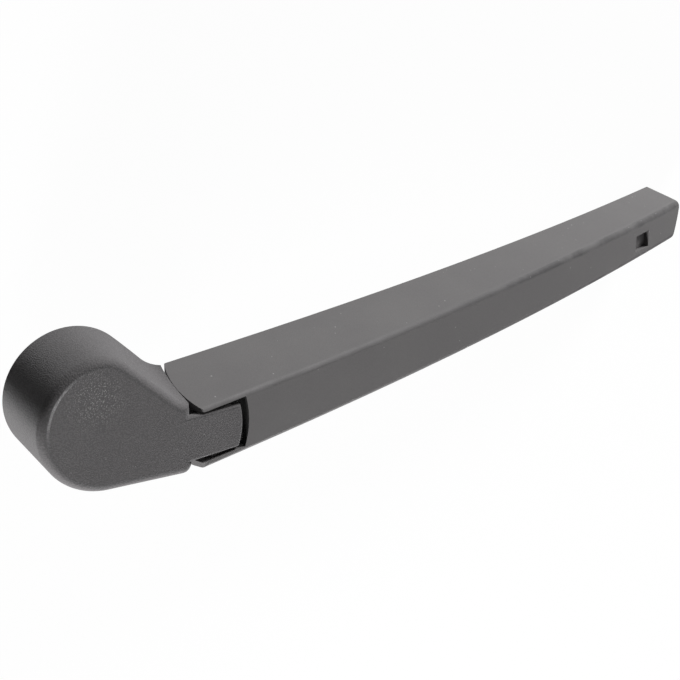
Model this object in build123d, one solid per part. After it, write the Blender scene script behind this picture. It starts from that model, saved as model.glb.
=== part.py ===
from build123d import *
import os
from math import acos, atan, atan2, cos, degrees, hypot, radians, sin, sqrt, tan

# Rear-window wiper arm: a cover cap on a die-cast pivot head, and a moulded channel arm hinged to it.
# Sizes are in millimetres and angles in degrees.
# The origin is on the spindle axis at the glass-side rim of the head. +Z runs along the spindle away
# from the glass, +X along the arm to its tip, and +Y to the side whose wall leans outwards.

# Head cap
drum_radius = 20.0
head_height = 28.0
cap_wall = 2.2
cap_edge_round = 2.7
flank_bearing = 39.0        # the way the flat flank faces, from +X towards +Y
flank_reach = 15.4          # from the spindle axis to the flank, at the outer face
flank_foot_inset = 0.3      # at the rim the flank stands this much inside the drum
flank_turn = 60.0           # the round between the flank and the drum turns this far
neck_blend_foot = 5.0       # hollow round between the flank and the neck, at the rim and at the outer face
neck_blend_top = 9.0
neck_gap = 1.3              # from the neck's end to the ears
neck_proud = 1.6            # at the outer face the neck stands out from the leaning ear by this much
neck_low_proud = 0.7        # and from the other ear by this much
neck_crest_drop = 4.0       # the neck's end is farthest from the hinge this much below the outer face
neck_corner_round = 3.0     # plan round of the neck's end, beside the lower ear
rim_flat_x = 19.0           # from here the rim rises to the neck's end
rim_end_z = 3.6
rim_bend = 12.0
tab_thickness = 2.0
tab_gap = 2.0               # from the tab's end to the arm's web
tab_root_x = 20.0
tab_high_gap = 2.0          # from the tab's end corners to the lips of the two ears
tab_low_gap = 0.7
tab_high_drift = 2.5        # both sides of the tab run towards the leaning wall, end to root
tab_low_drift = 1.6
tab_edge_round = 0.9
skirt_thickness = 1.2       # wall under the tab's edge beside the leaning wall, running back into the neck
skirt_depth = 5.5
skirt_back = 10.0           # from the hinge pin to the skirt's end in the neck
lug_thickness = 1.6
lug_radius = 4.3
detent_width = 8.0
detent_thickness = 1.8

# Arm channel
arm_tip_x = 283.8
arm_center_y = -14.9
ear_end_x = 25.2            # the ear on the leaning wall comes this near to the head
ear_foot_x = 27.2           # the same ear's end at its base
ear_head_x = 27.2           # and at the outer face
ear_nose_z = 19.5
ear_skew = 2.0              # the other ear reaches this much nearer to the head
web_end_x = 41.9            # web edge beside the leaning wall
web_end_skew = 2.4          # the other end of that edge lies this much nearer to the head
web_end_bulge = 1.2
web_width_root = 18.8
web_width_tip = 16.4
arm_depth_root = 23.0
arm_depth_tip = 16.3
bow_start_x = 38.0
bow_radius = 1466.0         # bow of the outer face towards the glass
upper_lean = 15.7
lower_lean = 5.0
arm_wall = 2.3
arm_web = 2.4
upper_round_root = 1.6
upper_round_tip = 3.4
lower_round_root = 1.0
lower_round_tip = 3.2
inner_round = 1.0
tip_round = 3.0
tip_bow_radius = 55.0       # bow of the tip's end, seen in plan
tip_turn = 15.0             # the tip's end faces this much towards the lower wall
tip_lean = 10.0             # and this much towards the glass
tip_wall = 3.6
ear_inset = 2.0             # from the wall's outer edge to the faces beside the hinge
upper_lip = 1.1             # ear thickness at the outer face, on the leaning wall
lower_lip = 1.5
ear_top_round = 2.0
ear_base_round = 1.0
ear_boss_radius = 5.0

# Hinge
hinge_x = 32.7
hinge_drop = 7.0            # pin axis below the outer face
pin_radius = 2.5
pin_grip = 2.4              # pin length in the blind hole of the upper ear
press_clearance = 0.02
running_clearance = 0.05
lug_clearance = 0.08
side_clearance = 0.2
bush_wall = 0.9
bush_flange = 0.8
bush_flange_radius = 4.0
boss_radius = 4.6

# Pivot head
hub_radius = 9.0
hub_height = 15.0
bore_radius = 4.2
bore_length = 6.0
cone_mouth_radius = 6.0
cone_neck_radius = 4.9
tongue_base_z = 5.0
tongue_start_x = 12.0
fork_slot = 2.6
fork_radius = 3.6
spring_pin_radius = 1.5
spring_pin_back = 2.7       # spring pin behind the hinge pin
spring_pin_drop = 9.5       # spring pin below the hinge pin

# Spring
wire_radius = 0.7
coil_radius = 3.8           # to the middle of the wire
coil_turns = 18
coil_pitch = 2.8
coil_start_x = 58.0
hook_clearance = 0.15
hook_bend = 2.2
anchor_reach = 9.0          # from the coil's end to the anchor pin
anchor_pin_radius = 1.5
anchor_plate = 2.2
anchor_plate_length = 10.0

# Ribs under the web
rib_thickness = 1.6
rib_depth = 10.0
rib_first_x = 140.0
rib_step = 26.0
rib_count = 4
edge_rib_back = 2.3         # from the web's edge to the rib behind it
edge_rib_depth = 8.5

# Blade end
recess_back = 33.4          # from the tip to the middle of the lock recess
recess_offset_y = -0.8
recess_length = 10.9
recess_width = 7.2
recess_depth = 2.2
recess_wall = 1.5
blade_pin_back = 16.8       # from the tip to the blade pin
blade_pin_drop = 9.5        # below the outer face
blade_pin_radius = 2.0
blade_pin_grip = 1.3

# Places that follow from the sizes above
low = (Align.CENTER, Align.CENTER, Align.MIN)
hinge_z = head_height - hinge_drop
spring_pin_x = hinge_x - spring_pin_back
spring_z = hinge_z - spring_pin_drop
coil_end_x = coil_start_x + coil_turns * coil_pitch
anchor_x = coil_end_x + anchor_reach
neck_end_x = ear_end_x - neck_gap
recess_x = arm_tip_x - recess_back
blade_pin_x = arm_tip_x - blade_pin_back
skew_slope = ear_skew / web_width_root
reach = 2 * arm_tip_x       # longer than any piece, for cutting tools


def outer_z(x):
    """Height of the arm's outer face: flat over the hinge, then a slow arc towards the glass."""
    run = max(x - bow_start_x, 0)
    return head_height - bow_radius + sqrt(bow_radius**2 - run**2)


def along(root, tip, x):
    """A size that changes evenly from the hinge to the tip."""
    return root + (tip - root) * (x - hinge_x) / (arm_tip_x - hinge_x)


def wall_y(x, z, upper, inset=0.0):
    """Y of the upper or lower wall at a place, set in by a wall thickness."""
    side = 1 if upper else -1
    lean = radians(upper_lean if upper else lower_lean)
    spread = along(web_width_root, web_width_tip, x) / 2 + (outer_z(x) - z) * tan(lean)
    return arm_center_y + side * (spread - inset / cos(lean))


def across(x):
    """The plane across the arm at x, with its own axes along Y and Z."""
    return Plane(origin=(x, 0, 0), x_dir=(0, 1, 0), z_dir=(1, 0, 0))


def along_y(profile, y_from, y_to):
    """An X-Z profile run from one Y to another."""
    plane = Plane(origin=(0, y_from, 0), x_dir=(1, 0, 0), z_dir=(0, -1, 0))
    return extrude(plane * profile, amount=y_from - y_to)


def skewed(profile, y_true, slope):
    """An X-Z profile that is true at one Y and drifts towards the head below it, right across the part."""
    width = 2 * drum_radius + web_width_root
    start = Plane(origin=(-slope * width, y_true - width, 0), x_dir=(1, 0, 0), z_dir=(0, -1, 0))
    return extrude(start * profile, amount=2 * width * hypot(1, slope), dir=(slope, 1, 0))


def rod(radius, x, z, y_from, y_to):
    """A round bar across the arm."""
    return Pos(x, (y_from + y_to) / 2, z) * Rot(90, 0, 0) * Cylinder(radius, y_to - y_from)


def channel_section(x, wall, web, base_drop, rounds):
    """Closed section across the arm. The rounds, lower then upper, go from root to tip size."""
    top = outer_z(x) - web
    base = outer_z(x) - along(arm_depth_root, arm_depth_tip, x) - base_drop
    corners = [
        (wall_y(x, base, False, wall), base),
        (wall_y(x, top, False, wall), top),
        (wall_y(x, top, True, wall), top),
        (wall_y(x, base, True, wall), base),
    ]
    low_round, high_round = (along(root, tip, x) for root, tip in rounds)
    outline = FilletPolyline(*corners, radius=(0, low_round, high_round, 0), close=True)
    return across(x) * make_face(outline)


def channel_loft(x_from, x_to, wall, web, base_drop, rounds):
    """A length of channel section that follows the bow."""
    bow_steps = 5
    stations = [x_from, bow_start_x]
    stations += [bow_start_x + (x_to - bow_start_x) * step / bow_steps for step in range(1, bow_steps + 1)]
    return loft([channel_section(x, wall, web, base_drop, rounds) for x in stations])


def web_edge():
    """The bulging edge between the web and the cap's tab, as three points."""
    y_high = wall_y(hinge_x, head_height, True) - upper_lip
    y_low = wall_y(hinge_x, head_height, False) + lower_lip
    middle_x = web_end_x - web_end_skew / 2 + web_end_bulge
    return (web_end_x, y_high), (middle_x, (y_high + y_low) / 2), (web_end_x - web_end_skew, y_low)


def hinge_faces():
    """Y of the faces of the two ears beside the hinge: lower, then upper."""
    return wall_y(hinge_x, head_height, False) + ear_inset, wall_y(hinge_x, head_height, True) - ear_inset


def cross_rib(x, depth):
    """A rib under the web, right across the arm. The arm's outside trims it."""
    return Pos(x, 0, outer_z(x) - depth) * Box(rib_thickness, reach, reach, align=low)


def ear_base():
    """Height of the ears' base edge."""
    return outer_z(ear_end_x) - along(arm_depth_root, arm_depth_tip, ear_end_x)


def ear_cutter():
    """Everything on the head side of the ears' rounded ends."""
    foot = (ear_foot_x, ear_base())
    head = (ear_head_x, head_height)
    nose = ThreePointArc(foot, (ear_end_x, ear_nose_z), head)
    back = Polyline(head, (web_end_x, head_height), (web_end_x, ear_base()), foot)
    ear = make_face([nose, back])
    ear = fillet(ear.vertices().sort_by_distance(foot)[0], ear_base_round)
    ear = fillet(ear.vertices().sort_by_distance(head)[0], ear_top_round)
    width = web_end_x - ear_end_x
    spare = ear_foot_x - ear_end_x + ear_top_round
    block = Pos(ear_end_x - width + spare, head_height / 2) * Rectangle(2 * width, 2 * head_height)
    return skewed(block - ear, wall_y(ear_end_x, head_height, True), skew_slope)


def tip_cutter():
    """Everything beyond the tip's end, which bows in plan and faces the lower wall and the glass a little."""
    place = Pos(arm_tip_x, arm_center_y, outer_z(arm_tip_x)) * Rot(0, tip_lean, 0) * Rot(0, 0, -tip_turn)
    back = Pos(-tip_bow_radius / 2, 0)
    beyond = place * back * Box(reach, reach, reach, align=(Align.MIN, Align.CENTER, Align.CENTER))
    return beyond - place * Pos(-tip_bow_radius, 0) * Cylinder(tip_bow_radius, 2 * reach)


def recess_plane():
    """The plane on the outer face at the middle of the lock recess."""
    slope = atan((recess_x - bow_start_x) / (outer_z(recess_x) - head_height + bow_radius))
    return Plane(
        origin=(recess_x, arm_center_y + recess_offset_y, outer_z(recess_x)),
        x_dir=(cos(slope), 0, -sin(slope)),
        z_dir=(sin(slope), 0, cos(slope)),
    )


def recess_block(margin, depth):
    """A block sunk into the outer face at the lock recess."""
    size = (recess_length + 2 * margin, recess_width + 2 * margin)
    sunk = (Align.CENTER, Align.CENTER, Align.MAX)
    return recess_plane() * Box(*size, depth, align=sunk)


def arm_channel():
    """The moulded channel: web, two walls, ears, closed tip, ribs, spring anchor and lock recess."""
    rounds = ((lower_round_root, lower_round_tip), (upper_round_root, upper_round_tip))
    outside = channel_loft(ear_end_x - 3 * ear_skew, arm_tip_x + 2 * tip_round, 0, 0, 0, rounds)
    outside -= tip_cutter()
    end_face = outside.faces().sort_by(Axis.X)[-1]
    outside = fillet(end_face.edges().sort_by(Axis.Z)[1:], tip_round)
    inside_rounds = ((inner_round, inner_round), (inner_round, inner_round))
    open_depth = arm_depth_root / 4
    inside_from = ear_end_x - 4 * ear_skew
    inside = channel_loft(inside_from, arm_tip_x - tip_wall, arm_wall, arm_web, open_depth, inside_rounds)
    y_low, y_high = hinge_faces()
    inner = []
    inner.append(rod(ear_boss_radius, hinge_x, hinge_z, y_high, y_high + arm_depth_root))
    inner.append(rod(ear_boss_radius, hinge_x, hinge_z, y_low - arm_depth_root, y_low))
    inner.append(cross_rib(web_end_x + edge_rib_back, edge_rib_depth))
    for number in range(rib_count):
        inner.append(cross_rib(rib_first_x + number * rib_step, rib_depth))
    spine_length = (rib_count - 1) * rib_step
    spine_x = rib_first_x + spine_length / 2
    spine_z = outer_z(rib_first_x + spine_length) - rib_depth / 2
    inner.append(Pos(spine_x, arm_center_y, spine_z) * Box(spine_length, rib_thickness, reach, align=low))
    for side in (-1, 1):
        plate_y = arm_center_y + side * (coil_radius + wire_radius + anchor_plate)
        plate = Pos(anchor_x, plate_y, spring_z - 2 * anchor_pin_radius)
        inner.append(plate * Box(anchor_plate_length, anchor_plate, reach, align=low))
    inner.append(recess_block(recess_wall, recess_depth + recess_wall))
    arm = outside - inside
    for piece in inner:
        arm += piece & outside
    arm -= recess_block(0, recess_depth)
    edge_high, edge_middle, edge_low = web_edge()
    slot_back = ear_end_x - 3 * ear_skew
    slot_line = [
        ThreePointArc(edge_high, edge_middle, edge_low),
        Polyline(edge_low, (slot_back, edge_low[1]), (slot_back, edge_high[1]), edge_high),
    ]
    slot = Pos(0, 0, head_height - 2 * arm_web) * extrude(make_face(slot_line), amount=4 * arm_web)
    arm -= slot
    arm -= ear_cutter()
    hole_radius = pin_radius + press_clearance
    arm -= rod(hole_radius, hinge_x, hinge_z, y_low - arm_depth_root, y_high + pin_grip)
    arm -= rod(anchor_pin_radius + press_clearance, anchor_x, spring_z, *anchor_span())
    arm -= rod(blade_pin_radius + press_clearance, blade_pin_x, blade_pin_z(), *blade_pin_span(reach))
    return arm


def anchor_span():
    """Y of the two ends of the anchor pin, flush with its plates."""
    half = coil_radius + wire_radius + anchor_plate * 1.5
    return arm_center_y - half, arm_center_y + half


def blade_pin_z():
    return outer_z(blade_pin_x) - blade_pin_drop


def blade_pin_span(past_low):
    """Y of the blade pin's ends: blind in the upper wall, and a length past the lower wall's inner face."""
    y_low = wall_y(blade_pin_x, blade_pin_z(), False, arm_wall)
    y_high = wall_y(blade_pin_x, blade_pin_z(), True, arm_wall)
    return y_low - past_low, y_high + blade_pin_grip


def head_outline(share, inset):
    """Plan outline of the head at the rim (share 0) or the outer face (share 1), set in by a wall."""
    z = head_height * share - inset
    radius = drum_radius - inset
    foot_reach = drum_radius - flank_foot_inset
    flank = foot_reach + (flank_reach - foot_reach) * share - inset
    bearing = radians(flank_bearing)
    fade = radians(flank_bearing + flank_turn)
    turn_cos = cos(radians(flank_turn))
    blend = (flank - radius * turn_cos) / (1 - turn_cos)
    blend_center = ((radius - blend) * cos(fade), (radius - blend) * sin(fade))
    flank_start = (blend_center[0] + blend * cos(bearing), blend_center[1] + blend * sin(bearing))
    y_high = wall_y(neck_end_x, z, True, inset) + neck_proud * share
    neck_corner = ((flank - y_high * sin(bearing)) / cos(bearing), y_high)
    y_low = wall_y(neck_end_x, z, False, inset) - neck_low_proud
    tangent = atan2(y_low, neck_end_x) - acos(radius / hypot(neck_end_x, y_low))
    low_start = (radius * cos(tangent), radius * sin(tangent))
    low_slope = (y_low - low_start[1]) / (neck_end_x - low_start[0])
    low_end = (hinge_x, y_low + low_slope * (hinge_x - neck_end_x))
    outline = make_face([
        CenterArc(blend_center, blend, flank_bearing, flank_turn),
        CenterArc((0, 0), radius, degrees(fade), 360 + degrees(tangent - fade)),
        Polyline(low_start, low_end, (hinge_x, y_high), neck_corner, flank_start),
    ])
    hollow = neck_blend_foot + (neck_blend_top - neck_blend_foot) * share + inset
    return Pos(0, 0, z) * fillet(outline.vertices().sort_by_distance(neck_corner)[0], hollow)


def head_solid(inset):
    """Drum and neck in one, set in by a wall thickness. The neck runs on into the hinge."""
    return loft([head_outline(0, inset), head_outline(1, inset)], ruled=True)


def neck_cutter():
    """Everything past the neck's end, a slow arc that keeps its gap to the ears' noses."""
    crest_z = head_height - neck_crest_drop
    back = ear_foot_x - ear_end_x
    bend = (back**2 + (crest_z - ear_base()) ** 2) / (2 * back)
    past_arc = Pos(neck_end_x + bend, crest_z) * Circle(bend)
    return skewed(past_arc, wall_y(ear_end_x, head_height, True), skew_slope)


def tab_end():
    """The tab's bulging end, as three points."""
    end_high, end_middle, end_low = web_edge()
    corner_high = (end_high[0] - tab_gap, end_high[1] - tab_high_gap)
    corner_low = (end_low[0] - tab_gap, end_low[1] + tab_low_gap)
    return corner_high, (end_middle[0] - tab_gap, end_middle[1]), corner_low


def tab_plate():
    """The tongue of the cap between the ears."""
    corner_high, end_middle, corner_low = tab_end()
    outline = [
        ThreePointArc(corner_high, end_middle, corner_low),
        Polyline(
            corner_low,
            (tab_root_x, corner_low[1] + tab_low_drift),
            (tab_root_x, corner_high[1] + tab_high_drift),
            corner_high,
        ),
    ]
    plate = Pos(0, 0, head_height - tab_thickness) * extrude(make_face(outline), amount=tab_thickness)
    rim = plate.faces().sort_by(Axis.Z)[-1].edges().sort_by(Axis.X)[1:]
    return fillet(rim, tab_edge_round)


def tab_skirt():
    """The wall under the tab's edge: in line with the upper lug, then along the edge to the tab's end."""
    end_x, end_y = tab_end()[0]
    lug_y = lug_spans()[0][1]
    edge = [(hinge_x - skirt_back, lug_y), (hinge_x, lug_y), (end_x, end_y)]
    inner_edge = [(x, y - skirt_thickness) for x, y in reversed(edge)]
    plan = make_face(Polyline(*edge, *inner_edge, close=True))
    base = Pos(0, 0, head_height - tab_thickness - skirt_depth)
    return base * extrude(plan, amount=skirt_depth + tab_thickness / 2)


def head_cap():
    """The cover cap: drum, neck and tab in one moulding, with two hinge lugs and a detent tongue."""
    rim_end_x = web_end_x
    rim_climb = rim_end_z * (rim_end_x - rim_flat_x) / (neck_end_x - rim_flat_x)
    rim_line = FilletPolyline((0, 0), (rim_flat_x, 0), (rim_end_x, rim_climb), radius=rim_bend)
    rim_below = Polyline((rim_end_x, rim_climb), (rim_end_x, -1), (0, -1), (0, 0))
    body = head_solid(0) - neck_cutter() - along_y(make_face([rim_line, rim_below]), -reach, reach)
    low_corner = (neck_end_x - ear_skew, wall_y(neck_end_x, hinge_z, False) - neck_low_proud, hinge_z)
    body = fillet(body.edges().sort_by_distance(low_corner)[0], neck_corner_round)
    top = body.faces().sort_by(Axis.Z)[-1]
    by_end = sorted(top.edges(), key=lambda edge: edge.center().X - skew_slope * edge.center().Y)
    body = fillet(by_end[:-1], cap_edge_round)
    cap = body + tab_plate() - head_solid(cap_wall)
    lug_line = make_hull(
        (Pos(hinge_x, hinge_z) * Circle(lug_radius)).edges()
        + (Pos(hinge_x, head_height - tab_thickness) * Rectangle(2 * lug_radius, tab_thickness)).edges()
    )
    for y_from, y_to in lug_spans():
        cap += along_y(lug_line, y_from, y_to)
    cap += tab_skirt()
    cap -= rod(pin_radius + lug_clearance, hinge_x, hinge_z, -reach, reach)
    detent_x = -hub_radius - side_clearance - detent_thickness / 2
    detent_z = hub_height / 2
    tongue = Box(detent_thickness, detent_width, head_height - cap_wall / 2 - detent_z, align=low)
    return cap + Pos(detent_x, 0, detent_z) * tongue


def lug_spans():
    """Y spans of the two cap lugs, each beside an ear."""
    y_low, y_high = hinge_faces()[0] + side_clearance, hinge_faces()[1] - side_clearance
    return (y_high - lug_thickness, y_high), (y_low, y_low + lug_thickness)


def boss_span():
    """Y of the two ends of the hinge boss, with room for a bush flange at each."""
    room = side_clearance + bush_flange
    return lug_spans()[1][1] + room, lug_spans()[0][0] - room


def pivot_head():
    """The die-cast hub with its tongue, hinge boss and spring fork."""
    y_low, y_high = boss_span()
    hub = Cylinder(hub_radius, hub_height, align=low)
    shoulder = Pos(tongue_start_x + hub_radius / 3, (y_low + y_high) / 2)
    shoulder *= Rectangle(2 * hub_radius / 3, y_high - y_low)
    plan = make_hull(Circle(hub_radius).edges() + shoulder.edges())
    head = hub + Pos(0, 0, tongue_base_z) * extrude(plan, amount=hub_height - tongue_base_z)
    tongue_height = hub_height - tongue_base_z
    root = Pos(tongue_start_x + hub_radius / 3, tongue_base_z + tongue_height / 2)
    side_line = make_hull(
        (root * Rectangle(2 * hub_radius / 3, tongue_height)).edges()
        + (Pos(hinge_x, hinge_z) * Circle(boss_radius)).edges()
        + (Pos(spring_pin_x, spring_z) * Circle(fork_radius)).edges()
    )
    head += along_y(side_line, y_low, y_high)
    slot_top = hinge_z - boss_radius
    slot_back = spring_pin_x - fork_radius
    slot = Pos(slot_back, arm_center_y, slot_top)
    head -= slot * Box(reach, fork_slot, reach, align=(Align.MIN, Align.CENTER, Align.MAX))
    head -= rod(spring_pin_radius + press_clearance, spring_pin_x, spring_z, y_low, y_high)
    head -= rod(bush_outer_radius() + press_clearance, hinge_x, hinge_z, y_low, y_high)
    cone_length = hub_height - bore_length
    head -= Cone(cone_mouth_radius, cone_neck_radius, cone_length, align=low)
    return head - Cylinder(bore_radius, hub_height, align=low)


def bush_outer_radius():
    return pin_radius + running_clearance + bush_wall


def hinge_bush(upper):
    """A flanged plain bush, half the length of the hinge boss."""
    y_low, y_high = boss_span()
    y_middle = (y_low + y_high) / 2
    if upper:
        sleeve = rod(bush_outer_radius(), hinge_x, hinge_z, y_middle, y_high)
        flange = rod(bush_flange_radius, hinge_x, hinge_z, y_high, y_high + bush_flange)
    else:
        sleeve = rod(bush_outer_radius(), hinge_x, hinge_z, y_low, y_middle)
        flange = rod(bush_flange_radius, hinge_x, hinge_z, y_low - bush_flange, y_low)
    return sleeve + flange - rod(pin_radius + running_clearance, hinge_x, hinge_z, -reach, reach)


def hinge_pin():
    """The hinge pin, flush with the lower ear and blind in the upper one."""
    y_high = hinge_faces()[1] + pin_grip
    return rod(pin_radius, hinge_x, hinge_z, wall_y(hinge_x, hinge_z, False), y_high)


def hook_path(pin_x, coil_x, pin_r):
    """Wire from the top of a coil's end to the spring's axis, along it, and round a pin."""
    toward = 1 if pin_x > coil_x else -1
    loop_radius = pin_r + hook_clearance + wire_radius
    lead = FilletPolyline(
        (coil_x, arm_center_y, spring_z + coil_radius),
        (coil_x + toward * coil_radius, arm_center_y, spring_z + loop_radius),
        (pin_x, arm_center_y, spring_z + loop_radius),
        radius=hook_bend,
    )
    loop_plane = Plane(origin=(pin_x, arm_center_y, spring_z), x_dir=(toward, 0, 0), z_dir=(0, -toward, 0))
    return lead.edges() + (loop_plane * CenterArc((0, 0), loop_radius, 90, -210)).edges()


def tension_spring():
    """A coil with a hook at each end, one round the spring pin and one round the anchor pin."""
    section = Circle(wire_radius)
    helix = Helix(coil_pitch, coil_turns * coil_pitch, coil_radius)
    coil = sweep(Plane(origin=helix @ 0, z_dir=helix % 0) * section, path=helix, is_frenet=True)
    axis_plane = Plane(origin=(coil_start_x, arm_center_y, spring_z), x_dir=(0, 0, 1), z_dir=(1, 0, 0))
    spring = axis_plane * coil
    ends = [(spring_pin_x, coil_start_x, spring_pin_radius), (anchor_x, coil_end_x, anchor_pin_radius)]
    for pin_x, coil_x, pin_r in ends:
        path = Wire(hook_path(pin_x, coil_x, pin_r))
        start = Plane(origin=path @ 0, z_dir=path % 0)
        spring += sweep(start * section, path=path)
        spring += Pos(*(path @ 0)) * Sphere(wire_radius)
    return spring


def spring_pin():
    return rod(spring_pin_radius, spring_pin_x, spring_z, *boss_span())


def anchor_pin():
    return rod(anchor_pin_radius, anchor_x, spring_z, *anchor_span())


def blade_pin():
    y_low, y_high = blade_pin_span(arm_wall)
    return rod(blade_pin_radius, blade_pin_x, blade_pin_z(), y_low, y_high)


pieces = {
    "head_cap": head_cap(),
    "pivot_head": pivot_head(),
    "hinge_bush_upper": hinge_bush(True),
    "hinge_bush_lower": hinge_bush(False),
    "hinge_pin": hinge_pin(),
    "spring_pin": spring_pin(),
    "tension_spring": tension_spring(),
    "anchor_pin": anchor_pin(),
    "arm_channel": arm_channel(),
    "blade_pin": blade_pin(),
}

os.makedirs("parts", exist_ok=True)
for name, piece in pieces.items():
    export_step(piece, f"parts/{name}.step")
    print(name, len(piece.solids()), round(piece.volume, 1), piece.is_valid)
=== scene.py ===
import bmesh
import bpy
from math import atan2, cos, hypot, pi, radians, sin, tan
from mathutils import Matrix, Vector


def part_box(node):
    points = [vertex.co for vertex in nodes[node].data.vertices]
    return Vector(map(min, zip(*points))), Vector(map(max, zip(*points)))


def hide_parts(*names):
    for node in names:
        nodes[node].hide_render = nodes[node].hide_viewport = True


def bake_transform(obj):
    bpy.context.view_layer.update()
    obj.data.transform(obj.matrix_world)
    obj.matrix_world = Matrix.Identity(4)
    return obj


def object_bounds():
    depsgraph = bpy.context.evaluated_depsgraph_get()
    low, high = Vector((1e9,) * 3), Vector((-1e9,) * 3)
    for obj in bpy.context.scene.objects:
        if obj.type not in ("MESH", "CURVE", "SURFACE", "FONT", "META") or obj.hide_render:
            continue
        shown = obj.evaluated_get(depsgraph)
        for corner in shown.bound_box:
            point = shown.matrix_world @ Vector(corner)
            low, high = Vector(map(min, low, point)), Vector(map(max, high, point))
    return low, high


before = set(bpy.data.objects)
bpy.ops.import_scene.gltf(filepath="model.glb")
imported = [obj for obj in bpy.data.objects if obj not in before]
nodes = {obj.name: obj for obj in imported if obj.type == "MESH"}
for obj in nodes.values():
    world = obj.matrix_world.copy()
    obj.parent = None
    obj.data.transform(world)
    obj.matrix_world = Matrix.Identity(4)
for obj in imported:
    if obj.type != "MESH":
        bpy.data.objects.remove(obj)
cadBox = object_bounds()
print("frame loaded:", len(nodes), "nodes")


def addNode(tree, kind, at, **values):
    made = tree.nodes.new(kind)
    made.location = at
    for key, value in values.items():
        setattr(made, key, value)
    return made


def setInputs(made, **values):
    for key, value in values.items():
        made.inputs[key.replace("_", " ")].default_value = value
    return made


def feed(tree, socket, value):  # a number or a colour is set, and a socket is linked
    if isinstance(value, (int, float)):
        socket.default_value = value
    elif isinstance(value, tuple):
        socket.default_value = (*value, 1)
    else:
        tree.links.new(value, socket)


def addMath(tree, at, operation, *values):
    made = addNode(tree, "ShaderNodeMath", at, operation=operation)
    for socket, value in zip(made.inputs, values):
        feed(tree, socket, value)
    return made.outputs[0]


def addRange(tree, at, value, fromMin, fromMax, toMin=0.0, toMax=1.0, smooth=True):
    made = addNode(tree, "ShaderNodeMapRange", at)
    made.interpolation_type = "SMOOTHSTEP" if smooth else "LINEAR"
    feed(tree, made.inputs["Value"], value)
    feed(tree, made.inputs["From Min"], fromMin)
    feed(tree, made.inputs["From Max"], fromMax)
    setInputs(made, To_Min=toMin, To_Max=toMax)
    return made.outputs["Result"]


def addMix(tree, at, factor, under, over):
    made = addNode(tree, "ShaderNodeMix", at, data_type="RGBA")
    feed(tree, made.inputs["Factor"], factor)
    feed(tree, made.inputs[6], under)  # colour sockets come after those for numbers and vectors
    feed(tree, made.inputs[7], over)
    return made.outputs[2]


def addLayer(tree, at, mask, share, under, over):
    cover = addMath(tree, (at[0] - 200, at[1] - 180), "MULTIPLY", mask, share)
    return addMix(tree, at, cover, under, over)


def addPosition(tree, at):
    return addNode(tree, "ShaderNodeTexCoord", at).outputs["Object"]


def addNoise(tree, at, position, scale, form):
    made = addNode(tree, "ShaderNodeTexNoise", at)
    tree.links.new(position, made.inputs["Vector"])
    feed(tree, made.inputs["Scale"], scale)
    return setInputs(made, Detail=form["noiseDetail"], Roughness=form["noiseRough"]).outputs


def addCells(tree, at, position, scale, feature):
    made = addNode(tree, "ShaderNodeTexVoronoi", at, feature=feature)
    tree.links.new(position, made.inputs["Vector"])
    tree.links.new(scale, made.inputs["Scale"])
    return made


def addSplit(tree, at, vector):
    made = addNode(tree, "ShaderNodeSeparateXYZ", at)
    tree.links.new(vector, made.inputs[0])
    return made.outputs


def addFacing(tree, at):  # the surface's direction along the part's own axes
    geometry = addNode(tree, "ShaderNodeNewGeometry", at)
    turn = addNode(tree, "ShaderNodeVectorTransform", (at[0] + 220, at[1]), vector_type="NORMAL",
                   convert_from="WORLD", convert_to="OBJECT")
    tree.links.new(geometry.outputs["Normal"], turn.inputs[0])
    return addSplit(tree, (at[0] + 440, at[1]), turn.outputs[0])


def addNear(tree, at, position, place, reach):  # 1 at the place, 0 at its reach and beyond
    apart = addNode(tree, "ShaderNodeVectorMath", at, operation="DISTANCE")
    tree.links.new(position, apart.inputs[0])
    apart.inputs[1].default_value = place
    return addRange(tree, (at[0] + 200, at[1]), apart.outputs["Value"], reach, 0.0)


def newGroup(name, inputs, outputs):
    group = bpy.data.node_groups.new(name, "ShaderNodeTree")
    for label, value in inputs.items():
        socket = group.interface.new_socket(
            name=label, in_out="INPUT", socket_type="NodeSocketFloat")
        socket.default_value = value
    for label in outputs:
        group.interface.new_socket(name=label, in_out="OUTPUT", socket_type="NodeSocketFloat")
    start = addNode(group, "NodeGroupInput", (-900, 0))
    end = addNode(group, "NodeGroupOutput", (700, 0))
    return group, start.outputs, end.inputs


def placeGroup(tree, group, at, **values):
    return setInputs(addNode(tree, "ShaderNodeGroup", at, node_tree=group), **values).outputs


# Eroded grain of a textured mould: small rounded cells with uneven depth
grainForm = {
    "noiseDetail": 2.0, "noiseRough": 0.6, "smoothness": 0.35,
    "domeTop": 0.1, "domeFoot": 0.75, "hollowFrom": 0.22, "hollowTo": 0.05,
}
grainGroup, grainIn, grainOut = newGroup(
    "mouldGrain", {"Scale": 2000.0, "Wander": 0.0003}, ["Height", "Hollows"])
grainPosition = addPosition(grainGroup, (-900, 260))
grainDrift = addNoise(grainGroup, (-660, 420), grainPosition, grainIn["Scale"], grainForm)
grainShift = addNode(grainGroup, "ShaderNodeVectorMath", (-440, 300), operation="MULTIPLY_ADD")
grainGroup.links.new(grainDrift["Color"], grainShift.inputs[0])
grainGroup.links.new(grainIn["Wander"], grainShift.inputs[1])
grainGroup.links.new(grainPosition, grainShift.inputs[2])
grainCells = addCells(
    grainGroup, (-220, 300), grainShift.outputs[0], grainIn["Scale"], "SMOOTH_F1")
setInputs(grainCells, Smoothness=grainForm["smoothness"])
grainDome = addRange(grainGroup, (20, 300), grainCells.outputs["Distance"],
                     grainForm["domeTop"], grainForm["domeFoot"], 1.0, 0.0)
grainLevel = addMath(grainGroup, (220, 420), "MULTIPLY", grainDome, grainDrift["Fac"])
grainGroup.links.new(grainLevel, grainOut["Height"])
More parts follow.
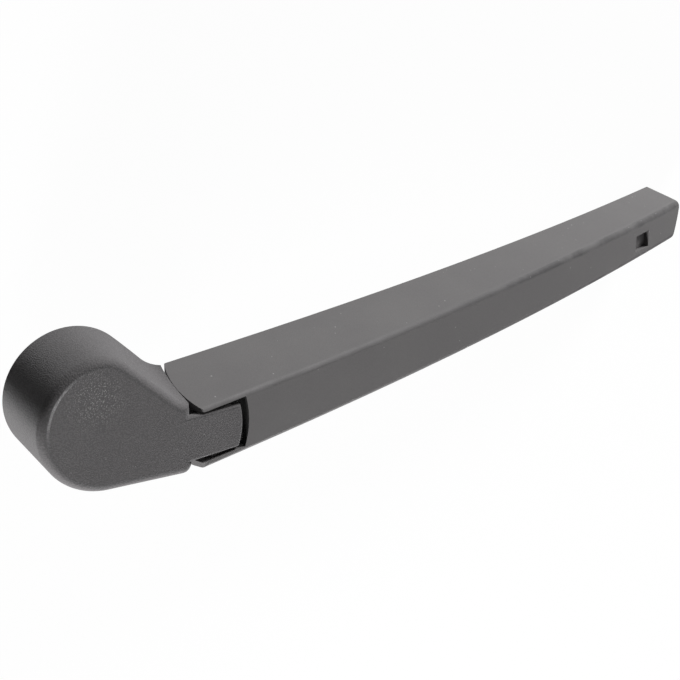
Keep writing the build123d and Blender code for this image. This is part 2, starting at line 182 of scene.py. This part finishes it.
grainLow = addRange(
    grainGroup, (420, 200), grainLevel, grainForm["hollowFrom"], grainForm["hollowTo"])
grainGroup.links.new(grainLow, grainOut["Hollows"])

# Loose dust: a few small specks, and a thin uneven film
dustForm = {
    "speckSize": 0.16, "noiseDetail": 5.0, "noiseRough": 0.62, "filmFrom": 0.35, "filmTo": 0.72,
}
dustGroup, dustIn, dustOut = newGroup(
    "looseDust", {"Scale": 420.0, "Sparse": 0.9, "Film Scale": 30.0}, ["Specks", "Film"])
dustPosition = addPosition(dustGroup, (-900, 260))
dustCells = addCells(dustGroup, (-640, 320), dustPosition, dustIn["Scale"], "F1").outputs
dustSplit = addNode(dustGroup, "ShaderNodeSeparateColor", (-420, 460))
dustGroup.links.new(dustCells["Color"], dustSplit.inputs["Color"])
dustChosen = addMath(
    dustGroup, (-220, 460), "GREATER_THAN", dustSplit.outputs["Red"], dustIn["Sparse"])
dustSize = addMath(
    dustGroup, (-220, 300), "MULTIPLY", dustSplit.outputs["Green"], dustForm["speckSize"])
dustNear = addMath(dustGroup, (0, 300), "LESS_THAN", dustCells["Distance"], dustSize)
dustSpot = addMath(dustGroup, (220, 380), "MULTIPLY", dustChosen, dustNear)
dustGroup.links.new(dustSpot, dustOut["Specks"])
dustCloud = addNoise(dustGroup, (-220, 40), dustPosition, dustIn["Film Scale"], dustForm)
dustFilm = addRange(
    dustGroup, (40, 40), dustCloud["Fac"], dustForm["filmFrom"], dustForm["filmTo"])
dustGroup.links.new(dustFilm, dustOut["Film"])

# Mask for painted highlight and painted shade along rounded edges, where a surface turns from a
# side to the outer face, broken into uneven patches
edgeLightForm = {
    "noiseDetail": 4.0, "noiseRough": 0.6, "patchFrom": 0.3, "patchTo": 0.65, "leastRub": 0.35,
}
edgeLightGroup, edgeLightIn, edgeLightOut = newGroup(
    "edgeRub",
    {"Patch Scale": 90.0, "Rise From": 0.66, "Rise To": 0.88, "Fall From": 0.995, "Fall To": 0.95},
    ["Rub"])
edgeOutward = addFacing(edgeLightGroup, (-900, 260))["Z"]
edgeRise = addRange(edgeLightGroup, (-240, 360), edgeOutward, edgeLightIn["Rise From"], edgeLightIn["Rise To"])
edgeFall = addRange(edgeLightGroup, (-240, 100), edgeOutward, edgeLightIn["Fall From"], edgeLightIn["Fall To"])
edgeLightBand = addMath(edgeLightGroup, (0, 260), "MULTIPLY", edgeRise, edgeFall)
edgeLightPatches = addNoise(
    edgeLightGroup, (-240, -140), addPosition(edgeLightGroup, (-460, -140)), edgeLightIn["Patch Scale"], edgeLightForm)
edgeLightUneven = addRange(edgeLightGroup, (0, -140), edgeLightPatches["Fac"],
                     edgeLightForm["patchFrom"], edgeLightForm["patchTo"], edgeLightForm["leastRub"])
edgeLightMask = addMath(edgeLightGroup, (240, 120), "MULTIPLY", edgeLightBand, edgeLightUneven)
edgeLightGroup.links.new(edgeLightMask, edgeLightOut["Rub"])

# Ground lines: noise with a scale of its own across Y, the axis of the pins
lineForm = {"noiseDetail": 3.0, "noiseRough": 0.6}
lineGroup, lineIn, lineOut = newGroup(
    "groundLines", {"Along": 40.0, "Across": 5200.0}, ["Lines"])
lineSplit = addSplit(lineGroup, (-700, 260), addPosition(lineGroup, (-900, 260)))
lineJoin = addNode(lineGroup, "ShaderNodeCombineXYZ", (-260, 260))
for lineAxis, lineLabel in (("X", "Along"), ("Y", "Across"), ("Z", "Along")):
    lineScaled = addMath(
        lineGroup, (-480, 260), "MULTIPLY", lineSplit[lineAxis], lineIn[lineLabel])
    lineGroup.links.new(lineScaled, lineJoin.inputs[lineAxis])
lineNoise = addNoise(lineGroup, (-40, 260), lineJoin.outputs[0], 1.0, lineForm)
lineGroup.links.new(lineNoise["Fac"], lineOut["Lines"])
print("shared effects built")


def newMaterial(name):
    material = bpy.data.materials.new(name)
    material.use_nodes = True
    tree = material.node_tree
    shader = tree.nodes["Principled BSDF"]
    shader.location = (500, 0)
    tree.nodes["Material Output"].location = (800, 0)
    return material, tree, shader


def addBump(tree, at, height, look, shader):
    bump = addNode(tree, "ShaderNodeBump", at)
    setInputs(bump, Strength=look["bumpStrength"], Distance=look["bumpDepth"])
    tree.links.new(height, bump.inputs["Height"])
    tree.links.new(bump.outputs["Normal"], shader.inputs["Normal"])


def addRough(tree, at, film, look, shader):
    rough = addRange(tree, at, film, 0.0, 1.0, look["roughLow"], look["roughHigh"], smooth=False)
    tree.links.new(rough, shader.inputs["Roughness"])


def mouldedPlastic(name, look):
    material, tree, shader = newMaterial(name)
    setInputs(shader, IOR=look["ior"], Specular_IOR_Level=look["specular"],
              Sheen_Weight=look["sheen"], Sheen_Roughness=look["sheenRough"])
    grain = placeGroup(tree, grainGroup, (-900, 300),
                       Scale=look["grainScale"], Wander=look["grainWander"])
    dust = placeGroup(tree, dustGroup, (-900, 0), Scale=look["speckScale"],
                      Sparse=look["speckSparse"], Film_Scale=look["filmScale"])
    edgeLight = placeGroup(tree, edgeLightGroup, (-900, -300), Patch_Scale=look["edgePatchScale"],
                     Rise_From=look["edgeRise"][0], Rise_To=look["edgeRise"][1],
                     Fall_From=look["edgeFall"][0], Fall_To=look["edgeFall"][1])
    position = addPosition(tree, (-1300, 700))
    # painted highlight on the rounded edges near one place, painted shade on them further away
    highlightHere = addNear(tree, (-1100, 500), position, look["highlightPlace"], look["highlightReach"])
    edgeLightTone = addMix(tree, (-700, 500), highlightHere, look["paintedShadeColor"], look["paintedHighlightColor"])
    tone = addMix(tree, (-600, 200), dust["Film"], look["color"], look["filmColor"])
    tone = addLayer(tree, (-400, 120), edgeLight["Rub"], look["edgeLightShare"], tone, edgeLightTone)
    tone = addLayer(
        tree, (-200, 60), grain["Hollows"], look["hollowShade"], tone, look["hollowColor"])
    tone = addLayer(tree, (0, 0), dust["Specks"], look["speckLift"], tone, look["speckAndGlintColor"])
    if "glintPlace" in look:  # painted highlight: grain tops made lighter around one spot of the face
        near = addNear(tree, (-700, 700), position, look["glintPlace"], look["glintReach"])
        tops = addRange(tree, (-500, 460), grain["Height"], *look["glintTops"])
        glintMask = addMath(tree, (-300, 600), "MULTIPLY", near, tops)
        tone = addLayer(tree, (200, 200), glintMask, look["glintLift"], tone, look["speckAndGlintColor"])
    if "slotShadePlace" in look:  # painted shade on the faces near the slot that look at the hinge
        facing = addFacing(tree, (-1300, -700))["X"]
        backward = addRange(tree, (-700, -700), facing, *look["slotShadeFacing"])
        near = addNear(tree, (-700, 900), position, look["slotShadePlace"], look["slotShadeReach"])
        slotShadeShare = addRange(tree, (-300, 900), near, 0.0, look["slotShadeFull"])
        tone = addLayer(tree, (400, 300), backward, slotShadeShare, tone, look["slotShadeColor"])
    tree.links.new(tone, shader.inputs["Base Color"])
    addRough(tree, (-200, -360), dust["Film"], look, shader)
    addBump(tree, (200, -560), grain["Height"], look, shader)
    return material


capLook = {
    "color": (0.108, 0.104, 0.106), "filmColor": (0.119, 0.115, 0.117), "filmScale": 30.0,
    "ior": 1.5, "specular": 0.03, "sheen": 0.2, "sheenRough": 0.35,
    "roughLow": 0.72, "roughHigh": 0.82,
    "grainScale": 2300.0, "grainWander": 0.0002,
    "hollowShade": 0.3, "hollowColor": (0.05, 0.049, 0.05),
    "bumpStrength": 0.7, "bumpDepth": 0.00015,
    # painted highlight along the face's rounded edge near one place, painted shade on that edge
    # elsewhere
    "edgePatchScale": 420.0, "edgeRise": (0.95, 0.975), "edgeFall": (0.9995, 0.996), "edgeLightShare": 0.9,
    "paintedHighlightColor": (0.34, 0.336, 0.34), "paintedShadeColor": (0.1, 0.098, 0.1),
    "highlightPlace": (-0.0135, 0.0111, 0.027), "highlightReach": 0.014,
    "speckScale": 900.0, "speckSparse": 0.86, "speckLift": 0.4, "speckAndGlintColor": (0.36, 0.36, 0.35),
    # painted highlight on the grain tops around one spot of the face, in the speck colour
    "glintPlace": (-0.0027, 0.0089, 0.028), "glintReach": 0.0115,
    "glintTops": (0.3, 0.6), "glintLift": 0.8,
}
armLook = {
    "color": (0.130, 0.126, 0.127), "filmColor": (0.141, 0.137, 0.137), "filmScale": 30.0,
    "ior": 1.5, "specular": 0.05, "sheen": 0.0, "sheenRough": 0.35,
    "roughLow": 0.56, "roughHigh": 0.64,
    "grainScale": 4200.0, "grainWander": 0.0001,
    "hollowShade": 0.16, "hollowColor": (0.07, 0.068, 0.07),
    "bumpStrength": 0.2, "bumpDepth": 0.00006,
    # painted highlight along the ridge near the hinge, painted shade along it towards the tip
    "edgePatchScale": 90.0, "edgeRise": (0.38, 0.62), "edgeFall": (0.995, 0.95), "edgeLightShare": 0.85,
    "paintedHighlightColor": (0.185, 0.18, 0.182), "paintedShadeColor": (0.058, 0.056, 0.058),
    "highlightPlace": (0.04, -0.006, 0.027), "highlightReach": 0.17,
    "speckScale": 480.0, "speckSparse": 0.84, "speckLift": 0.4, "speckAndGlintColor": (0.4, 0.4, 0.4),
    # painted shade in the hinge slot
    "slotShadePlace": (0.05, -0.0149, 0.026), "slotShadeReach": 0.03,
    "slotShadeFacing": (-0.4, -0.8), "slotShadeFull": 0.4, "slotShadeColor": (0.012, 0.012, 0.012),
}
capPlastic = mouldedPlastic("capPlastic", capLook)
armPlastic = mouldedPlastic("armPlastic", armLook)

# White acetal of the bushes, a little waxy
bushLook = {
    "color": (0.72, 0.70, 0.65), "filmColor": (0.62, 0.60, 0.55), "filmScale": 300.0,
    "ior": 1.48, "roughLow": 0.35, "roughHigh": 0.5,
    "grainScale": 3000.0, "grainWander": 0.0003, "bumpStrength": 0.1, "bumpDepth": 0.00005,
}
bushPlastic, bushTree, bushShader = newMaterial("bushPlastic")
setInputs(bushShader, IOR=bushLook["ior"])
bushFilm = placeGroup(bushTree, dustGroup, (-600, 100), Film_Scale=bushLook["filmScale"])["Film"]
bushGrain = placeGroup(bushTree, grainGroup, (-600, -200),
                       Scale=bushLook["grainScale"], Wander=bushLook["grainWander"])
bushTone = addMix(bushTree, (-200, 100), bushFilm, bushLook["color"], bushLook["filmColor"])
bushTree.links.new(bushTone, bushShader.inputs["Base Color"])
addRough(bushTree, (-200, -100), bushFilm, bushLook, bushShader)
addBump(bushTree, (200, -300), bushGrain["Height"], bushLook, bushShader)

# Raw die casting with the knurl that the spindle's cone has pressed into the seat
castLook = {
    "color": (0.30, 0.30, 0.31), "filmColor": (0.19, 0.19, 0.20), "filmScale": 140.0,
    "roughLow": 0.36, "roughHigh": 0.58,
    "grainScale": 1300.0, "grainWander": 0.0006, "bumpStrength": 0.5, "bumpDepth": 0.0002,
    "knurlTeeth": 54, "knurlRadius": 0.0064, "knurlTop": 0.009, "knurlLift": 1.5,
}
dieCast, castTree, castShader = newMaterial("dieCast")
setInputs(castShader, Metallic=1.0)
castGrain = placeGroup(castTree, grainGroup, (-1100, 300),
                       Scale=castLook["grainScale"], Wander=castLook["grainWander"])
castFilm = placeGroup(castTree, dustGroup, (-1100, 0), Film_Scale=castLook["filmScale"])["Film"]
castTone = addMix(castTree, (-200, 200), castFilm, castLook["color"], castLook["filmColor"])
castTree.links.new(castTone, castShader.inputs["Base Color"])
addRough(castTree, (-200, 0), castFilm, castLook, castShader)
castPosition = addPosition(castTree, (-1500, -400))
castSplit = addSplit(castTree, (-1300, -400), castPosition)
castBearing = addMath(castTree, (-1300, -240), "ARCTAN2", castSplit["Y"], castSplit["X"])
castPhase = addMath(castTree, (-1100, -320), "MULTIPLY", castBearing, castLook["knurlTeeth"])
castTeeth = addMath(castTree, (-900, -320), "SINE", castPhase)
castAcross = addNode(castTree, "ShaderNodeVectorMath", (-1100, -520), operation="MULTIPLY")
castTree.links.new(castPosition, castAcross.inputs[0])
castAcross.inputs[1].default_value = (1, 1, 0)
castRadius = addNode(castTree, "ShaderNodeVectorMath", (-900, -520), operation="LENGTH")
castTree.links.new(castAcross.outputs[0], castRadius.inputs[0])
castInside = addMath(
    castTree, (-700, -520), "LESS_THAN", castRadius.outputs["Value"], castLook["knurlRadius"])
castBelow = addMath(castTree, (-700, -680), "LESS_THAN", castSplit["Z"], castLook["knurlTop"])
castSeat = addMath(castTree, (-500, -580), "MULTIPLY", castInside, castBelow)
castKnurl = addMath(castTree, (-300, -480), "MULTIPLY", castSeat, castTeeth)
castHeight = addMath(castTree, (-100, -400), "MULTIPLY_ADD",
                     castKnurl, castLook["knurlLift"], castGrain["Height"])
addBump(castTree, (200, -400), castHeight, castLook, castShader)


def groundSteel(name, look):
    material, tree, shader = newMaterial(name)
    setInputs(shader, Metallic=1.0)
    lines = placeGroup(
        tree, lineGroup, (-700, 200), Along=look["along"], Across=look["across"])["Lines"]
    film = placeGroup(tree, dustGroup, (-700, -100), Film_Scale=look["filmScale"])["Film"]
    streaked = addMix(tree, (-400, 200), lines, look["color"], look["lineColor"])
    oiled = addLayer(tree, (-200, 120), film, look["filmShade"], streaked, look["filmColor"])
    tree.links.new(oiled, shader.inputs["Base Color"])
    rough = addRange(
        tree, (-200, -160), lines, *look["lineRange"], look["roughLow"], look["roughHigh"])
    tree.links.new(rough, shader.inputs["Roughness"])
    addBump(tree, (200, -300), lines, look, shader)
    return material


pinLook = {
    "color": (0.42, 0.42, 0.43), "lineColor": (0.31, 0.31, 0.32),
    "filmColor": (0.22, 0.21, 0.20), "filmShade": 0.4, "filmScale": 220.0,
    "along": 900.0, "across": 9000.0, "lineRange": (0.3, 0.7),
    "roughLow": 0.36, "roughHigh": 0.52, "bumpStrength": 0.15, "bumpDepth": 0.00004,
}
springLook = {
    "color": (0.36, 0.36, 0.38), "lineColor": (0.26, 0.26, 0.28),
    "filmColor": (0.16, 0.14, 0.12), "filmShade": 0.45, "filmScale": 260.0,
    "along": 2600.0, "across": 600.0, "lineRange": (0.3, 0.7),
    "roughLow": 0.28, "roughHigh": 0.46, "bumpStrength": 0.15, "bumpDepth": 0.00004,
}
pinSteel = groundSteel("pinSteel", pinLook)
springSteel = groundSteel("springSteel", springLook)

nodeFinish = {
    "head_cap": capPlastic, "arm_channel": armPlastic, "pivot_head": dieCast,
    "hinge_bush_upper": bushPlastic, "hinge_bush_lower": bushPlastic,
    "hinge_pin": pinSteel, "spring_pin": pinSteel, "anchor_pin": pinSteel, "blade_pin": pinSteel,
}
for nodeName, finish in nodeFinish.items():
    for materialSlot in nodes[nodeName].material_slots:
        materialSlot.material = finish
print("materials set on", len(nodeFinish), "nodes")


springSizes = {
    "wireRadius": 0.0007, "wireSides": 12, "ballRings": 8,
    "coilRadius": 0.0038, "coilTurns": 18, "coilPitch": 0.0028, "coilStartX": 0.058,
    "turnSteps": 36, "leadSteps": 4, "runStep": 0.001,
    "pinGap": 0.00015, "bendRadius": 0.0022, "bendSteps": 6,
    "loopTurn": radians(210), "loopSteps": 28, "blendInset": 0.001,
}


def pinCentre(nodeName):
    low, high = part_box(nodeName)
    return (low + high) / 2, (high.x - low.x) / 2


def startRing(mesh, sizes, centre, facing):
    turn = facing.to_track_quat("Z", "Y").to_matrix().to_4x4()
    made = bmesh.ops.create_circle(
        mesh, cap_ends=False, segments=sizes["wireSides"], radius=sizes["wireRadius"],
        matrix=Matrix.Translation(centre) @ turn)
    verts = made["verts"]
    return verts + list({edge for vert in verts for edge in vert.link_edges})


def sweepRing(mesh, ring, centre, angle, travel, steps):
    swept = bmesh.ops.spin(
        mesh, geom=ring, cent=centre, axis=(0, 1, 0), dvec=travel / steps, angle=angle,
        steps=steps, use_duplicate=False)
    return [item for item in swept["geom_last"] if not isinstance(item, bmesh.types.BMFace)]


def runRing(mesh, ring, travel, steps):
    return sweepRing(mesh, ring, Vector(), 0, travel, steps)


def bendRing(mesh, ring, centre, angle, steps):
    return sweepRing(mesh, ring, centre, angle, Vector(), steps)


def addHook(mesh, sizes, pin, pinRadius, coilX):
    toward = 1 if pin.x > coilX else -1
    loopRadius = pinRadius + sizes["pinGap"] + sizes["wireRadius"]
    fall = sizes["coilRadius"] - loopRadius
    slope = atan2(fall, sizes["coilRadius"])
    leadDirection = Vector((toward * cos(slope), 0, -sin(slope)))
    back = sizes["bendRadius"] * tan(slope / 2)
    leadLength = hypot(fall, sizes["coilRadius"]) - back
    coilEnd = Vector((coilX, pin.y, pin.z + sizes["coilRadius"]))
    ring = startRing(mesh, sizes, coilEnd, leadDirection)
    ring = runRing(mesh, ring, leadDirection * leadLength, sizes["leadSteps"])
    upright = Vector((toward * sin(slope), 0, cos(slope)))
    bendCentre = coilEnd + leadDirection * leadLength + upright * sizes["bendRadius"]
    ring = bendRing(mesh, ring, bendCentre, -toward * slope, sizes["bendSteps"])
    bendEndX = coilX + toward * (sizes["coilRadius"] + back)
    travel = Vector((pin.x - bendEndX, 0, 0))
    runSteps = max(sizes["leadSteps"], round(travel.length / sizes["runStep"]))
    ring = runRing(mesh, ring, travel, runSteps)
    bendRing(mesh, ring, pin, toward * sizes["loopTurn"], sizes["loopSteps"])
    bmesh.ops.create_uvsphere(  # rounds the corner between coil and hook
        mesh, u_segments=sizes["wireSides"], v_segments=sizes["ballRings"],
        radius=sizes["wireRadius"], matrix=Matrix.Translation(coilEnd))


def makeSpring(sizes):
    springPin, springPinRadius = pinCentre("spring_pin")
    anchorPin, anchorPinRadius = pinCentre("anchor_pin")
    springPin.y = anchorPin.y
    startX, pitch, turns = sizes["coilStartX"], sizes["coilPitch"], sizes["coilTurns"]
    mesh = bmesh.new()
    climb = pitch / (2 * pi * sizes["coilRadius"])
    first = Vector((startX, anchorPin.y, anchorPin.z + sizes["coilRadius"]))
    ring = startRing(mesh, sizes, first, Vector((climb, -1, 0)))
    bmesh.ops.spin(
        mesh, geom=ring, cent=(startX, anchorPin.y, anchorPin.z), axis=(1, 0, 0),
        dvec=(pitch / sizes["turnSteps"], 0, 0), angle=2 * pi * turns,
        steps=turns * sizes["turnSteps"], use_duplicate=False)
    addHook(mesh, sizes, springPin, springPinRadius, startX)
    addHook(mesh, sizes, anchorPin, anchorPinRadius, startX + turns * pitch)
    openEdges = [edge for edge in mesh.edges if edge.is_boundary]
    bmesh.ops.holes_fill(mesh, edges=openEdges, sides=sizes["wireSides"])
    bmesh.ops.recalc_face_normals(mesh, faces=mesh.faces)
    for face in mesh.faces:
        face.smooth = len(face.verts) < 5  # the cut ends of the wire stay flat
    data = bpy.data.meshes.new("springCoil")
    mesh.to_mesh(data)
    mesh.free()
    data.materials.append(springSteel)
    coil = bpy.data.objects.new("springCoil", data)
    bpy.context.collection.objects.link(coil)
    return coil, springPin


springCoil, springPinPlace = makeSpring(springSizes)
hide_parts("tension_spring")
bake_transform(springCoil)  # one hook stays on the head
print("spring made:", len(springCoil.data.polygons), "faces")


floorLook = {
    "size": 6.0, "drop": 0.0005,
    "color": (0.86, 0.86, 0.86), "bounce": (0.22, 0.22, 0.22), "whiteShare": 0.96,
}


def whiteShown(tree, at):  # 1 for what the camera, gloss and clear material see, else 0
    path = addNode(tree, "ShaderNodeLightPath", at).outputs
    seen = addMath(
        tree, (at[0] + 200, at[1]), "MAXIMUM", path["Is Camera Ray"], path["Is Glossy Ray"])
    return addMath(tree, (at[0] + 400, at[1]), "MAXIMUM", seen, path["Is Transmission Ray"])


def mixShaders(tree, at, factor, first, second):
    made = addNode(tree, "ShaderNodeMixShader", at)
    tree.links.new(factor, made.inputs["Fac"])
    tree.links.new(first.outputs[0], made.inputs[1])
    tree.links.new(second.outputs[0], made.inputs[2])
    return made


def makeFloor(look):
    mesh = bmesh.new()
    bmesh.ops.create_grid(mesh, x_segments=1, y_segments=1, size=look["size"] / 2)
    bmesh.ops.translate(mesh, verts=mesh.verts, vec=(0, 0, cadBox[0].z - look["drop"]))
    data = bpy.data.meshes.new("studioFloor")
    mesh.to_mesh(data)
    mesh.free()
    floor = bpy.data.objects.new("studioFloor", data)
    bpy.context.collection.objects.link(floor)
    material = bpy.data.materials.new("studioFloor")
    material.use_nodes = True
    tree = material.node_tree
    tree.nodes.clear()
    shown = whiteShown(tree, (-600, 300))
    paper = addNode(tree, "ShaderNodeBsdfDiffuse", (0, 120))
    paperTone = addMix(tree, (-200, 120), shown, look["bounce"], look["color"])
    tree.links.new(paperTone, paper.inputs["Color"])
    white = addNode(tree, "ShaderNodeEmission", (0, -60))
    share = addMath(tree, (0, 300), "MULTIPLY", shown, look["whiteShare"])
    above = mixShaders(tree, (220, 100), share, paper, white)
    side = addNode(tree, "ShaderNodeNewGeometry", (220, 320)).outputs["Backfacing"]
    clear = addNode(tree, "ShaderNodeBsdfTransparent", (220, -60))
    oneSided = mixShaders(tree, (440, 100), side, above, clear)  # see-through from below
    output = addNode(tree, "ShaderNodeOutputMaterial", (640, 100))
    tree.links.new(oneSided.outputs[0], output.inputs["Surface"])
    data.materials.append(material)
    return floor


makeFloor(floorLook)

worldLook = {"ambient": 0.085, "color": (1, 1, 1, 1)}
studioWorld = bpy.data.worlds.new("studioWorld")
studioWorld.use_nodes = True
bpy.context.scene.world = studioWorld
worldTree = studioWorld.node_tree
worldTree.nodes.clear()
ambient = addNode(worldTree, "ShaderNodeBackground", (0, 120))
setInputs(ambient, Color=worldLook["color"], Strength=worldLook["ambient"])
backdrop = addNode(worldTree, "ShaderNodeBackground", (0, -60))
setInputs(backdrop, Color=worldLook["color"])
worldMix = mixShaders(worldTree, (220, 100), whiteShown(worldTree, (-600, 300)), ambient, backdrop)
worldOutput = addNode(worldTree, "ShaderNodeOutputWorld", (440, 100))
worldTree.links.new(worldMix.outputs[0], worldOutput.inputs["Surface"])

lampAim = Vector((0.12, -0.01, 0.012))
lamps = {  # angles in degrees from the aim, distance and size in metres, power in watts
    "rightBox": {"bearing": 43, "elevation": 11, "distance": 3.0, "size": 1.1, "power": 158.0},
    "leftBox": {"bearing": 236, "elevation": 9, "distance": 1.1, "size": 0.35, "power": 32.0},
    "tipBox": {"bearing": 0, "elevation": 12, "distance": 0.85, "size": 0.4, "power": 1.2},
    "overBox": {"bearing": 315, "elevation": 45, "distance": 0.9, "size": 0.5, "power": 1.1},
}
for lampName, lamp in lamps.items():
    bearing, elevation = radians(lamp["bearing"]), radians(lamp["elevation"])
    level = cos(elevation)
    direction = Vector((level * cos(bearing), level * sin(bearing), sin(elevation)))
    light = bpy.data.lights.new(lampName, "AREA")
    light.shape = "DISK"
    light.size = lamp["size"]
    light.energy = lamp["power"]
    lampObject = bpy.data.objects.new(lampName, light)
    lampObject.location = lampAim + direction * lamp["distance"]
    lampObject.rotation_euler = direction.to_track_quat("Z", "Y").to_euler()
    bpy.context.collection.objects.link(lampObject)

cameraLook = {
    "place": Vector((-0.07918, 0.12320, 0.24834)),
    "aim": Vector((0.10526, -0.02196, -0.01129)),
    "roll": radians(116.03),
    "lens": 50.294, "sensor": 36, "nearClip": 0.01,
}
camera = bpy.data.objects.new("photoCamera", bpy.data.cameras.new("photoCamera"))
camera.data.lens = cameraLook["lens"]
camera.data.sensor_width = cameraLook["sensor"]
camera.data.clip_start = cameraLook["nearClip"]
sight = (cameraLook["aim"] - cameraLook["place"]).to_track_quat("-Z", "Y").to_matrix()
camera.matrix_world = Matrix.Translation(cameraLook["place"]) @ (
    sight @ Matrix.Rotation(cameraLook["roll"], 3, "Z")).to_4x4()
bpy.context.collection.objects.link(camera)
bpy.context.scene.camera = camera
bpy.context.scene.view_settings.view_transform = "Standard"
print("stage, light and camera set")
